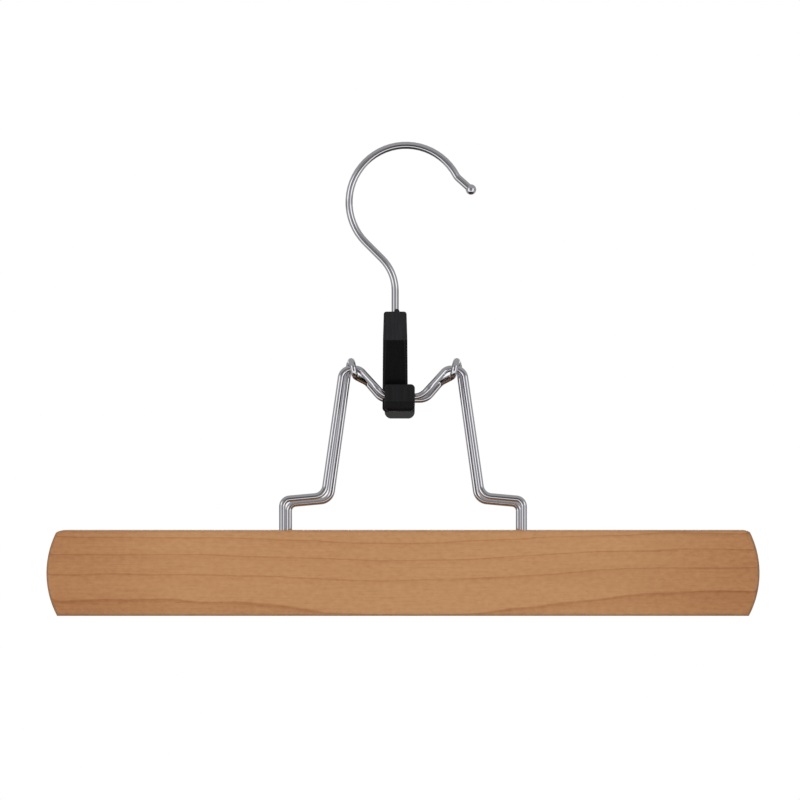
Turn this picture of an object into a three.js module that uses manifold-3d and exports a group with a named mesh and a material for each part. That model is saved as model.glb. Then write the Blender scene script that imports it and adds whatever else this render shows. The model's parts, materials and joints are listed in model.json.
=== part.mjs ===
// Clamp hanger for skirts and trousers. Two felt-lined wooden bars hang on bent wire frames that
// are hinged to each other at two eyes. A plastic wedge under the swivelling hook holds the middle
// run of each frame in an upturned slot: pulled up, it draws the bars together, and pushed down,
// it spreads them.
// Millimetres, +Z up, X along the bars, the front towards -Y. The origin is the point of the
// hook that rests on a rail.
import * as THREE from 'three';
import { mergeVertices } from 'three/addons/utils/BufferGeometryUtils.js';
import { ConvexGeometry } from 'three/addons/geometries/ConvexGeometry.js';
import Module from 'manifold-3d';

const wasm = await Module();
wasm.setup();

// Gaps
const seatGap = 0.3;
const slideGap = 0.35;
const eyeGap = 0.4;
const closedGap = 0.4;

// Wooden bars
const barLength = 300;
const barHeight = 36;
const barThickness = 12;
const endBulge = 4.5;
const barTopCorner = 3;
const barBottomCorner = 0.6;
const barEdgeRadius = 1.8;

// Felt linings, let into the bars' inner faces
const feltThickness = 2;
const feltProud = 1.4;
const feltEndMargin = 9;
const feltEdgeMargin = 5;

// Wire frames. Half spans are measured from the middle of the hanger to the wire's centre line.
const frameWire = 2.8;
const footDepth = 20;
const footHalfSpan = 50.8;
const shoulderRise = 13;
const shoulderSlope = 1.6;
const legFootHalfSpan = 33.2;
const legLean = 0.6;
const kneeRise = 68;
const kneeHalfSpan = 25.6;
const kneeRun = 7.3;
const rearFootNest = 2.2;
const rearLegNest = 2.2;
const rearShoulderDrop = 2.1;
const rearAside = 0.4;
const frontFlankHalf = 11.5;
const frontMiddleHalf = 7.6;
const frontMiddleDrop = 11.8;
const rearMiddleHalf = 9.4;
const rearMiddleDrop = 13;
const footBend = 3.2;
const shoulderBend = 5;
const kneeBend = 4.2;
const flankBend = 6;
const middleBend = 7;

// Eyes of the rear frame, wound round the straight knees of the front frame
const eyeTurn = THREE.MathUtils.degToRad(240);
const eyePitch = 4;
const eyeOutset = 2.3;
const eyeTail = 1.2;
const eyeExitDrop = 5.8;
const eyeExitHalf = 15.6;
const eyeExitBend = 3;

// Wedge lock
const webThickness = 3.7;
const wedgeAngle = THREE.MathUtils.degToRad(8.3);
const wedgeRise = 23.9;
const capRise = 12;
const capTopThickness = 8.6;
const capTopWidth = 9.6;
const stepWidth = 10.3;
const webWidth = 10.8;
const stemChamfer = 1.3;
const webChamfer = 0.4;
const jawWidth = 12.8;
const jawRoot = 0.8;
const jawAside = 1.9;
const lipThickness = 2.5;
const lipTopThickness = 1.3;
const lipRise = 5.3;
const jawCreaseDrop = 1.8;
const frontJawDrop = 6.5;
const rearJawDrop = 8;
const jawToeRadius = 2.2;
const creaseRadius = 0.6;
const lipTopRadius = 0.5;
const jawRootRadius = 0.1;
const jawTopRadius = 1.8;
const jawBottomRadius = 2.8;
const nubRadius = 1.15;
const nubAside = 0.7;
const nubInset = 1.25;

// Hook
const hookWire = 3.1;
const hookInnerRadius = 22.45;
const crownShift = 4.55;
const crownRise = 46.1;
const neckAngle = THREE.MathUtils.degToRad(45);
const neckRadius = 19;
const crownTurn = THREE.MathUtils.degToRad(197);
const tipTurn = THREE.MathUtils.degToRad(20);
const tipRadius = 4;
const tipRun = 7.2;
const tipBall = 4.5;
const headDiameter = 5.4;
const headHeight = 2.4;
const headDepth = 15.3;
const lockAside = -3.3;

// Facets
const wireSides = 14;
const roundSides = 24;
const curveSides = 8;
const chordSag = 0.03;
const cutPast = 1;

// Heights over the bars' feet, and depths from the plane between the bars
const wireRadius = frameWire / 2;
const hookRadius = hookWire / 2;
const innerFace = closedGap / 2 + feltProud;
const barMiddle = innerFace + barThickness / 2;
const kneeHeight = barHeight + kneeRise;
const frontMiddleHeight = kneeHeight - frontMiddleDrop;
const rearMiddleHeight = kneeHeight - rearMiddleDrop;
const stepHeight = frontMiddleHeight + wedgeRise;
const lockTop = stepHeight + capRise;
const slotRadius = wireRadius + slideGap;
const slotOffset = slotRadius / Math.cos(wedgeAngle);
const frontMiddleDepth = webHalf(frontMiddleHeight) + slotOffset;
const rearMiddleDepth = webHalf(rearMiddleHeight) + slotOffset;
const crownRadius = hookInnerRadius + hookRadius;
const crownHeight = lockTop + crownRise;
const seatHeight = crownHeight + hookInnerRadius;

// How many straight steps keep a bend within the allowed sag.
function stepsFor(turn, radius) {
  return Math.max(2, Math.ceil(Math.abs(turn) / (2 * Math.acos(1 - chordSag / radius))));
}

// Half thickness of the wedge at a height over the bars' feet.
function webHalf(height) {
  return webThickness / 2 + Math.tan(wedgeAngle) * (height - frontMiddleHeight);
}

// Solids: three.js geometry in, three.js geometry out, with joins and cuts between.
function toSolid(geometry) {
  const bare = geometry.clone();
  bare.deleteAttribute('normal');
  bare.deleteAttribute('uv');
  const merged = mergeVertices(bare, 1e-4);
  const vertProperties = new Float32Array(merged.attributes.position.array);
  const triVerts = new Uint32Array(merged.index.array);
  return new wasm.Manifold(new wasm.Mesh({ numProp: 3, vertProperties, triVerts }));
}

function toGeometry(solid) {
  const { vertProperties, triVerts } = solid.getMesh();
  const geometry = new THREE.BufferGeometry();
  geometry.setAttribute('position', new THREE.BufferAttribute(vertProperties, 3));
  geometry.setIndex(new THREE.BufferAttribute(triVerts, 1));
  geometry.computeVertexNormals();
  return geometry;
}

// An outline in X and Z, given a thickness in Y.
function slabFrom(outline, fromY, toY) {
  const settings = { depth: toY - fromY, curveSegments: curveSides, bevelEnabled: false };
  const slab = new THREE.ExtrudeGeometry(outline, settings);
  slab.rotateX(Math.PI / 2);
  slab.translate(0, toY, 0);
  return toSolid(slab);
}

// An outline in Y and Z, given a width in X about the middle.
function profileAcross(outline, width) {
  const settings = { depth: width, curveSegments: curveSides, bevelEnabled: false };
  const across = new THREE.ExtrudeGeometry(outline, settings);
  across.translate(0, 0, -width / 2);
  across.rotateX(Math.PI / 2);
  across.rotateZ(Math.PI / 2);
  return toSolid(across);
}

function polygon(points) {
  return new THREE.Shape(points.map(([x, y]) => new THREE.Vector2(x, y)));
}

// A closed outline with each corner rounded to its own radius.
function roundedOutline(corners) {
  const points = corners.map(([x, y]) => new THREE.Vector2(x, y));
  const shape = new THREE.Shape();
  points.forEach((corner, i) => {
    const before = points[(i + points.length - 1) % points.length];
    const after = points[(i + 1) % points.length];
    const radius = corners[i][2];
    const start = corner.clone().add(before.clone().sub(corner).setLength(radius));
    const end = corner.clone().add(after.clone().sub(corner).setLength(radius));
    if (i === 0) {
      shape.moveTo(start.x, start.y);
    } else {
      shape.lineTo(start.x, start.y);
    }
    shape.quadraticCurveTo(corner.x, corner.y, end.x, end.y);
  });
  shape.closePath();
  return shape;
}

// A route through corner points, with a bend of a given radius at each inner corner.
function bentRoute(corners) {
  const points = corners.map(([x, y, z]) => new THREE.Vector3(x, y, z));
  const route = [points[0]];
  for (let i = 1; i < points.length - 1; i++) {
    route.push(...bendAt(points[i - 1], points[i], points[i + 1], corners[i][3]));
  }
  route.push(points[points.length - 1]);
  return route;
}

function bendAt(before, corner, after, radius) {
  const back = before.clone().sub(corner).normalize();
  const ahead = after.clone().sub(corner).normalize();
  const turn = Math.PI - back.angleTo(ahead);
  const inward = back.clone().add(ahead).normalize();
  const centre = corner.clone().addScaledVector(inward, radius / Math.cos(turn / 2));
  const out = inward.clone().negate();
  const along = ahead.clone().addScaledVector(inward, -ahead.dot(inward)).normalize();
  const steps = stepsFor(turn, radius);
  const arc = [];
  for (let i = 0; i <= steps; i++) {
    const angle = turn * (i / steps - 0.5);
    const point = centre.clone();
    point.addScaledVector(out, radius * Math.cos(angle));
    point.addScaledVector(along, radius * Math.sin(angle));
    arc.push(point);
  }
  return arc;
}

// A route whose rings stand only at its own points, square to the wire there.
class WireRoute extends THREE.Curve {
  constructor(points) {
    super();
    this.points = points;
  }

  indexAt(u) {
    return Math.round(u * (this.points.length - 1));
  }

  getPointAt(u) {
    return this.points[this.indexAt(u)].clone();
  }

  getTangentAt(u) {
    const i = this.indexAt(u);
    const here = this.points[i];
    const before = this.points[i - 1] ?? here;
    const after = this.points[i + 1] ?? here;
    const arriving = here.clone().sub(before).normalize();
    const leaving = after.clone().sub(here).normalize();
    return arriving.add(leaving).normalize();
  }
}

function wireAlong(points, diameter) {
  const section = new THREE.Shape();
  section.absarc(0, 0, diameter / 2, 0, 2 * Math.PI);
  return toSolid(new THREE.ExtrudeGeometry(section, {
    extrudePath: new WireRoute(points),
    steps: points.length - 1,
    curveSegments: wireSides / 2,
    bevelEnabled: false,
  }));
}

// The right half of a route, from its foot to the middle, with the left half mirrored on.
function mirroredRoute(rightHalf) {
  const leftHalf = rightHalf.map((point) => new THREE.Vector3(-point.x, point.y, point.z));
  return [...rightHalf, ...leftHalf.reverse()];
}

// Beside the lock the front wire leans with the web, and only then runs back to the knee.
function frontWireSolid() {
  const shoulder = barHeight + shoulderRise;
  const flankShare = (frontFlankHalf - frontMiddleHalf) / (kneeHalfSpan - kneeRun - frontMiddleHalf);
  const flankRise = frontMiddleDrop * flankShare;
  const flankDepth = frontMiddleDepth + Math.tan(wedgeAngle) * flankRise;
  return wireAlong(mirroredRoute(bentRoute([
    [footHalfSpan, -barMiddle, barHeight - footDepth],
    [footHalfSpan, -barMiddle, shoulder, footBend],
    [legFootHalfSpan, legLean - barMiddle, shoulder + shoulderSlope, shoulderBend],
    [kneeHalfSpan, 0, kneeHeight, kneeBend],
    [kneeHalfSpan - kneeRun, 0, kneeHeight, kneeBend],
    [frontFlankHalf, -flankDepth, frontMiddleHeight + flankRise, flankBend],
    [frontMiddleHalf, -frontMiddleDepth, frontMiddleHeight, middleBend],
    [0, -frontMiddleDepth, frontMiddleHeight],
  ]).slice(0, -1)), frameWire);
}

// The rear wire comes up behind the knee, over it, down before it and back under it.
function rearWireSolid() {
  const eyeRadius = frameWire + eyeGap;
  const eyeStart = kneeHalfSpan - eyeOutset;
  const steps = stepsFor(eyeTurn, eyeRadius);
  const eye = [];
  for (let i = 0; i <= steps; i++) {
    const angle = eyeTurn * (i / steps);
    const x = eyeStart - eyePitch * (angle / (2 * Math.PI));
    const y = eyeRadius * Math.cos(angle);
    const z = kneeHeight + eyeRadius * Math.sin(angle);
    eye.push(new THREE.Vector3(x, y, z));
  }
  const shoulder = barHeight + shoulderRise - rearShoulderDrop;
  const leg = bentRoute([
    [footHalfSpan - rearFootNest, barMiddle, barHeight - footDepth],
    [footHalfSpan - rearFootNest, barMiddle, shoulder, footBend],
    [legFootHalfSpan - rearLegNest, barMiddle - legLean, shoulder + shoulderSlope, shoulderBend],
    eye[0].toArray(),
  ]);
  const eyeEnd = eye[eye.length - 1];
  const tail = eyeEnd.clone().sub(eye[eye.length - 2]).setLength(eyeTail).add(eyeEnd);
  const middle = bentRoute([
    eyeEnd.toArray(),
    [...tail.toArray(), eyeExitBend],
    [eyeExitHalf, rearMiddleDepth, kneeHeight - eyeExitDrop, eyeExitBend],
    [rearMiddleHalf, rearMiddleDepth, rearMiddleHeight, flankBend],
    [0, rearMiddleDepth, rearMiddleHeight],
  ]);
  const rightHalf = [...leg.slice(0, -1), ...eye, ...middle.slice(1, -1)];
  return wireAlong(mirroredRoute(rightHalf), frameWire);
}

// The bar's front outline: long edges straight, ends bowed, upper corners eased more than lower ones.
function barOutline(inset) {
  const half = barLength / 2 - inset;
  const top = barHeight - inset;
  const middle = barHeight / 2;
  const bowHalf = middle - inset;
  const bowRadius = (bowHalf * bowHalf + endBulge * endBulge) / (2 * endBulge);
  const bowCentre = half - bowRadius;
  const corner = half - endBulge;
  const low = Math.asin((bowHalf - barBottomCorner) / bowRadius);
  const high = Math.asin((bowHalf - barTopCorner) / bowRadius);
  const bowX = (angle) => bowCentre + bowRadius * Math.cos(angle);
  const bowZ = (angle) => middle + bowRadius * Math.sin(angle);
  const outline = new THREE.Shape();
  outline.moveTo(barBottomCorner - corner, inset);
  outline.lineTo(corner - barBottomCorner, inset);
  outline.quadraticCurveTo(corner, inset, bowX(low), bowZ(-low));
  outline.absarc(bowCentre, middle, bowRadius, -low, high);
  outline.quadraticCurveTo(corner, top, corner - barTopCorner, top);
  outline.lineTo(barTopCorner - corner, top);
  outline.quadraticCurveTo(-corner, top, -bowX(high), bowZ(high));
  outline.absarc(-bowCentre, middle, bowRadius, Math.PI - high, Math.PI + low);
  outline.quadraticCurveTo(-corner, inset, barBottomCorner - corner, inset);
  return outline;
}

function feltOutline(margin) {
  const half = barLength / 2 - feltEndMargin + margin;
  const low = feltEdgeMargin - margin;
  const high = barHeight - feltEdgeMargin + margin;
  return polygon([[-half, low], [half, low], [half, high], [-half, high]]);
}

function wireHole(x, y) {
  const depth = footDepth + seatGap;
  const radius = wireRadius + seatGap;
  const bore = new THREE.CylinderGeometry(radius, radius, 2 * depth, roundSides);
  bore.rotateX(Math.PI / 2);
  bore.translate(x, y, barHeight);
  return toSolid(bore);
}

// A bar lies between its inner face and its outer face. Side is -1 at the front, +1 at the rear.
function barSolid(side, holeHalfSpan) {
  const blank = new THREE.ExtrudeGeometry(barOutline(barEdgeRadius), {
    depth: barThickness - 2 * barEdgeRadius,
    bevelThickness: barEdgeRadius,
    bevelSize: barEdgeRadius,
    bevelSegments: curveSides / 2,
    curveSegments: curveSides,
  });
  blank.rotateX(Math.PI / 2);
  blank.translate(0, side * barMiddle + barThickness / 2 - barEdgeRadius, 0);
  const rebateFloor = innerFace - feltProud + feltThickness + seatGap;
  const [nearY, farY] = side < 0 ? [-rebateFloor, 0] : [0, rebateFloor];
  return toSolid(blank)
    .subtract(slabFrom(feltOutline(seatGap), nearY, farY))
    .subtract(wireHole(holeHalfSpan, side * barMiddle))
    .subtract(wireHole(-holeHalfSpan, side * barMiddle));
}

function feltSolid(side) {
  const surface = innerFace - feltProud;
  const back = surface + feltThickness;
  const [nearY, farY] = side < 0 ? [-back, -surface] : [surface, back];
  return slabFrom(feltOutline(0), nearY, farY);
}

// A level ring of points: a rectangle with its corners cut off.
function chamferedRing(width, thickness, chamfer, height) {
  const x = width / 2;
  const y = thickness / 2;
  const ring = [];
  for (const [sx, sy] of [[1, 1], [-1, 1], [-1, -1], [1, -1]]) {
    ring.push(new THREE.Vector3(sx * (x - chamfer), sy * y, height));
    ring.push(new THREE.Vector3(sx * x, sy * (y - chamfer), height));
  }
  return ring;
}

// One upturned slot: a round floor under the wire and two walls that follow the wedge.
function slotCut(side, depth, height) {
  const rise = lipRise + 2 * slotRadius;
  const cos = Math.cos(wedgeAngle);
  const sin = Math.sin(wedgeAngle);
  const outer = side * slotRadius * cos;
  const inner = -side * (slotRadius + jawRoot) * cos;
  const tilt = slotRadius * sin;
  const floor = new THREE.Shape();
  floor.absarc(side * depth, height, slotRadius, 0, 2 * Math.PI);
  const walls = polygon([
    [side * depth + inner, height + tilt],
    [side * depth + outer, height - tilt],
    [side * (depth + rise * sin) + outer, height - tilt + rise * cos],
    [side * (depth + rise * sin) + inner, height + tilt + rise * cos],
  ]);
  return profileAcross(floor, 2 * jawWidth).add(profileAcross(walls, 2 * jawWidth));
}

// A jaw stands before or behind the web: a toe under the wire and a lip on its outer side.
function jawSolid(side, depth, height, drop) {
  const bottom = height - drop;
  const top = height + lipRise;
  const creaseDepth = depth + slotRadius + lipThickness;
  const lipTop = depth + slotOffset + Math.tan(wedgeAngle) * lipRise + lipTopThickness;
  const profile = roundedOutline([
    [-side * jawRoot, bottom, jawRootRadius],
    [side * (creaseDepth - lipTopThickness), bottom, jawToeRadius],
    [side * creaseDepth, height - jawCreaseDrop, creaseRadius],
    [side * lipTop, top, lipTopRadius],
    [-side * jawRoot, top, jawRootRadius],
  ]);
  const half = jawWidth / 2;
  const face = roundedOutline([
    [jawAside - half, bottom, jawBottomRadius],
    [jawAside + half, bottom, jawBottomRadius],
    [jawAside + half, top, jawTopRadius],
    [jawAside - half, top, jawTopRadius],
  ]);
  const reach = 2 * creaseDepth;
  const jaw = profileAcross(profile, 2 * jawWidth).intersect(slabFrom(face, -reach, reach));
  return jaw.subtract(slotCut(side, depth, height));
}

// The hook's head turns in a pocket that is moulded round it, and its shank in a bore above.
function hookCavity() {
  const bore = hookRadius + slideGap;
  const pocket = headDiameter / 2 + seatGap;
  const floor = lockTop - headDepth - headHeight - seatGap;
  const ceiling = floor + headHeight + 2 * seatGap;
  const mouth = lockTop + cutPast;
  const outline = [
    [0, floor],
    [pocket, floor],
    [pocket, ceiling],
    [bore, ceiling],
    [bore, mouth],
    [0, mouth],
  ].map(([radius, height]) => new THREE.Vector2(radius, height));
  const cavity = new THREE.LatheGeometry(outline, roundSides);
  cavity.rotateX(Math.PI / 2);
  return toSolid(cavity);
}

// A round nub left by the moulding gate, on the cap beside the shank.
function gateNub() {
  const nub = new THREE.SphereGeometry(nubRadius, roundSides / 2, roundSides / 4);
  nub.rotateX(Math.PI / 2);
  nub.translate(nubAside, nubInset - capTopThickness / 2, lockTop);
  return toSolid(nub);
}

function lockSolid() {
  const webBottom = rearMiddleHeight - rearJawDrop + jawBottomRadius;
  const stepThickness = 2 * webHalf(stepHeight);
  const stepRing = chamferedRing(stepWidth, stepThickness, stemChamfer, stepHeight);
  const webRing = chamferedRing(webWidth, 2 * webHalf(webBottom), webChamfer, webBottom);
  const capRing = chamferedRing(capTopWidth, capTopThickness, stemChamfer, lockTop);
  return toSolid(new ConvexGeometry([...webRing, ...stepRing, ...capRing]))
    .add(jawSolid(-1, frontMiddleDepth, frontMiddleHeight, frontJawDrop))
    .add(jawSolid(1, rearMiddleDepth, rearMiddleHeight, rearJawDrop))
    .add(gateNub())
    .subtract(hookCavity());
}

// Lays out a flat wire as a bender feeds it: straight runs, and bends of a radius and an angle.
class FlatRoute {
  constructor(x, z, heading) {
    this.points = [new THREE.Vector3(x, 0, z)];
    this.heading = heading;
  }

  get end() {
    return this.points[this.points.length - 1];
  }

  run(length) {
    const x = this.end.x + length * Math.cos(this.heading);
    const z = this.end.z + length * Math.sin(this.heading);
    this.points.push(new THREE.Vector3(x, 0, z));
    return this;
  }

  bend(radius, turn) {
    const side = Math.sign(turn);
    const centreX = this.end.x - side * radius * Math.sin(this.heading);
    const centreZ = this.end.z + side * radius * Math.cos(this.heading);
    const steps = stepsFor(turn, radius);
    for (let i = 1; i <= steps; i++) {
      const heading = this.heading + turn * (i / steps);
      const x = centreX + side * radius * Math.sin(heading);
      const z = centreZ - side * radius * Math.cos(heading);
      this.points.push(new THREE.Vector3(x, 0, z));
    }
    this.heading += turn;
    return this;
  }
}

function hookSolid() {
  const headBottom = lockTop - headDepth - headHeight;
  const headMiddle = headBottom + headHeight / 2;
  const neckSin = Math.sin(neckAngle);
  const neckCos = Math.cos(neckAngle);
  const neckRun = (crownRadius * neckCos - crownShift - neckRadius * (1 - neckCos)) / neckSin;
  const neckStart = crownHeight - (crownRadius + neckRadius) * neckSin - neckRun * neckCos;
  const route = new FlatRoute(0, headMiddle, Math.PI / 2)
    .run(neckStart - headMiddle)
    .bend(neckRadius, neckAngle)
    .run(neckRun)
    .bend(crownRadius, -crownTurn)
    .bend(tipRadius, tipTurn)
    .run(tipRun);
  const head = new THREE.CylinderGeometry(headDiameter / 2, headDiameter / 2, headHeight, roundSides);
  head.rotateX(Math.PI / 2);
  head.translate(0, 0, headMiddle);
  const ball = new THREE.SphereGeometry(tipBall / 2, roundSides, roundSides / 2);
  ball.translate(route.end.x, 0, route.end.z);
  return wireAlong(route.points, hookWire).add(toSolid(head)).add(toSolid(ball));
}

function piece(name, solid, finish) {
  const mesh = new THREE.Mesh(toGeometry(solid), new THREE.MeshStandardMaterial(finish));
  mesh.name = name;
  return mesh;
}

const beech = { color: 0xc8945f, roughness: 0.45, metalness: 0 };
const felt = { color: 0x2b2724, roughness: 0.95, metalness: 0 };
const chrome = { color: 0xd6d6d8, roughness: 0.12, metalness: 1 };
const plastic = { color: 0x1d1d1f, roughness: 0.4, metalness: 0 };

const lockGroup = new THREE.Group();
lockGroup.position.x = lockAside;
lockGroup.add(piece('wedge_lock', lockSolid(), plastic));
lockGroup.add(piece('hook', hookSolid(), chrome));

const frontGroup = new THREE.Group();
frontGroup.add(
  piece('front_wire', frontWireSolid(), chrome),
  piece('front_bar', barSolid(-1, footHalfSpan), beech),
  piece('front_felt', feltSolid(-1), felt),
);

const rearGroup = new THREE.Group();
rearGroup.position.x = rearAside;
rearGroup.add(
  piece('rear_wire', rearWireSolid(), chrome),
  piece('rear_bar', barSolid(1, footHalfSpan - rearFootNest), beech),
  piece('rear_felt', feltSolid(1), felt),
);

const hanger = new THREE.Group();
hanger.add(lockGroup, frontGroup, rearGroup);
hanger.position.set(-lockAside - crownShift, 0, -seatHeight);

export default hanger;
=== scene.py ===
import json
from math import asin, ceil, cos, pi, radians, sin, sqrt, tan

import bmesh
import bpy
from mathutils import Matrix, Vector, noise


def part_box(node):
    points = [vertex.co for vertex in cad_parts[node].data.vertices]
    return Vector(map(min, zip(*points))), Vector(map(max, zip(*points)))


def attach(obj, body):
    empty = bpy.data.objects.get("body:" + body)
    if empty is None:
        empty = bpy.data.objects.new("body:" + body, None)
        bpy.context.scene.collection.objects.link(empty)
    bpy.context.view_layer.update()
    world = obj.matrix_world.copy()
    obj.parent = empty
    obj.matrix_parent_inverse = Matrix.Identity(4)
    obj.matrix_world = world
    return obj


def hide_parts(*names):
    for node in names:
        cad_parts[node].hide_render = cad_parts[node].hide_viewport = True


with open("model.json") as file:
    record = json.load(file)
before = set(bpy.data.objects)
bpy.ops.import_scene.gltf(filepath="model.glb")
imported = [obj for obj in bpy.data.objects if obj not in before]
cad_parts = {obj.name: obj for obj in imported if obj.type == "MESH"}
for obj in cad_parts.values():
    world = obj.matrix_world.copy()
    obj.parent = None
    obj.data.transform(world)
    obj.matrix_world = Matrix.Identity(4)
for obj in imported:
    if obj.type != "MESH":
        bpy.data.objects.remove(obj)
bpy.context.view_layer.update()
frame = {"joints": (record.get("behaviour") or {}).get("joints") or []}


# Camera
# It stands level and square to the front of the bars, several metres away, with a very long lens.
# It is set so that the front bar takes the same part of the picture as in the photograph.
MM = 0.001
PICTURE_SIDE = 800
PIXELS_PER_MM = 2.378
BAR_MIDDLE_ACROSS = 403
BAR_FOOT_DOWN = 616
CAMERA_LENS = 600

scene = bpy.context.scene
scene.view_settings.view_transform = "Standard"
front_low, front_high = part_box("front_bar")
front_middle = (front_low + front_high) / 2
optics = bpy.data.cameras.new("camera")
optics.lens = CAMERA_LENS
picture_width = PICTURE_SIDE / PIXELS_PER_MM * MM
camera = bpy.data.objects.new("camera", optics)
camera.rotation_euler = (radians(90), 0, 0)
camera.location = (
    front_middle.x - (BAR_MIDDLE_ACROSS - PICTURE_SIDE / 2) / PIXELS_PER_MM * MM,
    front_low.y - picture_width * optics.lens / optics.sensor_width,
    front_low.z + (BAR_FOOT_DOWN - PICTURE_SIDE / 2) / PIXELS_PER_MM * MM,
)
scene.collection.objects.link(camera)
scene.camera = camera


# Clamp bars
# Two bars sawn from a warm brown hardwood, with bowed ends and rounded long edges, under satin lacquer.
# Each has a shallow rebate for its lining milled into the inner face and two holes for the wire's feet.
END_BULGE = 4.5
TOP_CORNER = 3.0
CORNER_STEPS = 8
EDGE_ROUND = 1.8
EDGE_STEPS = 6
BOW_STEPS = 28
HOLE_STEPS = 40
OVERSHOOT = 1
SEAM = 0.0005
CREASE = radians(34)
FELT_END_MARGIN = 9
FELT_EDGE_MARGIN = 5
REBATE_DEPTH = 0.9
FOOT_DEPTH = 20
FOOT_HOLE = 1.7
FOOT_SINK = 0.5
FOOT_PATCH = 5
FRONT_FOOT_HALF_SPAN = 50.8
REAR_FOOT_HALF_SPAN = 48.6
RING_WIDTH = 4.6
RING_WANDER = 2.4
RING_RIPPLE = 0.5
SWEEP_LENGTH = 260
SWEEP_DEPTH = 1.1
LOG_TAPER = 0.0045
# How far from each end of a bar the wood darkens: painted shade where the light falls off, and darker end
# grain at the bowed ends.
END_SHADE_REACH = 70
PALE_WOOD = (184, 137, 95)
DARK_WOOD = (142, 90, 56)
SCREEN_GAMMA = 2.2

# All the pieces are drawn in millimetres, with heights above the foot of the bars.
bar_length = (front_high.x - front_low.x) / MM
bar_height = (front_high.z - front_low.z) / MM
bar_thickness = (front_high.y - front_low.y) / MM
bow_radius = ((bar_height / 2) ** 2 + END_BULGE ** 2) / (2 * END_BULGE)
bow_centre = bar_length / 2 - bow_radius
rear_low, rear_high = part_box("rear_bar")


def new_object(name, shape):
    """Makes an object of a shape and uses the shape up."""
    mesh = bpy.data.meshes.new(name)
    shape.to_mesh(mesh)
    shape.free()
    made = bpy.data.objects.new(name, mesh)
    scene.collection.objects.link(made)
    return made


def tidy(shape):
    """Merges a shape's seams, dissolves corners that only split an edge, and turns its faces outwards."""
    bmesh.ops.remove_doubles(shape, verts=shape.verts, dist=SEAM)
    bmesh.ops.dissolve_degenerate(shape, edges=shape.edges, dist=SEAM)
    splits = [vert for vert in shape.verts if len(vert.link_edges) == 2]
    bmesh.ops.dissolve_verts(shape, verts=splits)
    bmesh.ops.recalc_face_normals(shape, faces=shape.faces)


def carve(shape, operation, *tools):
    """Cuts tools out of a shape, joins them to it or keeps what they share, and uses them all up."""
    body = new_object("body", shape)
    helpers = [new_object("tool", tool) for tool in tools]
    for helper in helpers:
        step = body.modifiers.new("carve", "BOOLEAN")
        step.operation = operation
        step.solver = "MANIFOLD"
        step.object = helper
    carved = bmesh.new()
    carved.from_object(body, bpy.context.evaluated_depsgraph_get())
    for used in [body] + helpers:
        bpy.data.objects.remove(used)
    return carved


def round_off(shape, items, offset, steps, kind="EDGES"):
    """Rounds edges of a shape, or corners of a flat face. One step makes a chamfer."""
    bmesh.ops.bevel(
        shape, geom=items, offset=offset, affect=kind, segments=steps, profile=0.5, material=-1
    )


def pull(shape, distance):
    """Draws a flat face out into a prism."""
    made = bmesh.ops.extrude_face_region(shape, geom=shape.faces[:])["geom"]
    far = [item for item in made if isinstance(item, bmesh.types.BMVert)]
    bmesh.ops.translate(shape, vec=distance, verts=far)
    bmesh.ops.recalc_face_normals(shape, faces=shape.faces)


def block(low, high):
    """A plain box between two corners."""
    shape = bmesh.new()
    low = Vector(low)
    high = Vector(high)
    bmesh.ops.create_cube(shape, size=1)
    bmesh.ops.scale(shape, vec=high - low, verts=shape.verts)
    bmesh.ops.translate(shape, vec=(low + high) / 2, verts=shape.verts)
    return shape


def lathe(profile, centre):
    """A solid turned round an upright axis, from the radius and height of each of its corners."""
    shape = bmesh.new()
    corners = [shape.verts.new((radius, 0, height)) for radius, height in profile]
    edges = [shape.edges.new(pair) for pair in zip(corners, corners[1:])]
    bmesh.ops.spin(
        shape, geom=corners + edges, cent=(0, 0, 0), axis=(0, 0, 1),
        angle=2 * pi, steps=HOLE_STEPS, use_merge=True,
    )
    tidy(shape)
    bmesh.ops.translate(shape, vec=centre, verts=shape.verts)
    return shape


def finish_piece(name, shape, place, material, body, node):
    """Sets a shape that is drawn in millimetres in its place, as a piece that takes over from a node."""
    tidy(shape)
    bmesh.ops.transform(shape, matrix=place, verts=shape.verts)
    for face in shape.faces:
        face.smooth = True
    for edge in shape.edges:
        edge.smooth = edge.calc_face_angle(0) < CREASE
    piece = new_object(name, shape)
    piece.data.materials.append(material)
    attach(piece, body)
    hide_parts(node)
    return piece


def in_place(low, high):
    """Takes a shape in millimetres about the middle of a bar's foot to that bar's place."""
    return Matrix.Translation(((low.x + high.x) / 2, 0, low.z)) @ Matrix.Scale(MM, 4)


def bar_blank():
    """A bar with bowed ends, standing on z 0 with its front face at y 0."""
    shape = bmesh.new()
    turn = 2 * asin(bar_height / 2 / bow_radius)
    corner = shape.verts.new((bar_length / 2 - END_BULGE, 0, 0))
    bow = (bow_centre, 0, bar_height / 2)
    bmesh.ops.spin(shape, geom=[corner], cent=bow, axis=(0, -1, 0), angle=turn, steps=BOW_STEPS)
    bmesh.ops.mirror(shape, geom=shape.verts[:] + shape.edges[:], axis="X")
    for level in (0, bar_height):
        ends = [vert for vert in shape.verts if abs(vert.co.z - level) < SEAM]
        bmesh.ops.contextual_create(shape, geom=ends)
    bmesh.ops.contextual_create(shape, geom=shape.edges[:])
    tops = [vert for vert in shape.verts if abs(vert.co.z - bar_height) < SEAM]
    round_off(shape, tops, TOP_CORNER, CORNER_STEPS, "VERTICES")
    pull(shape, (0, bar_thickness, 0))
    rims = [edge for edge in shape.edges if abs(edge.verts[0].co.y - edge.verts[1].co.y) < SEAM]
    round_off(shape, rims, EDGE_ROUND, EDGE_STEPS)
    return shape


def score(shape, aside):
    """Splits the faces of a shape along an upright plane across it."""
    everything = shape.verts[:] + shape.edges[:] + shape.faces[:]
    bmesh.ops.bisect_plane(shape, geom=everything, dist=SEAM, plane_co=(aside, 0, 0), plane_no=(1, 0, 0))


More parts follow.
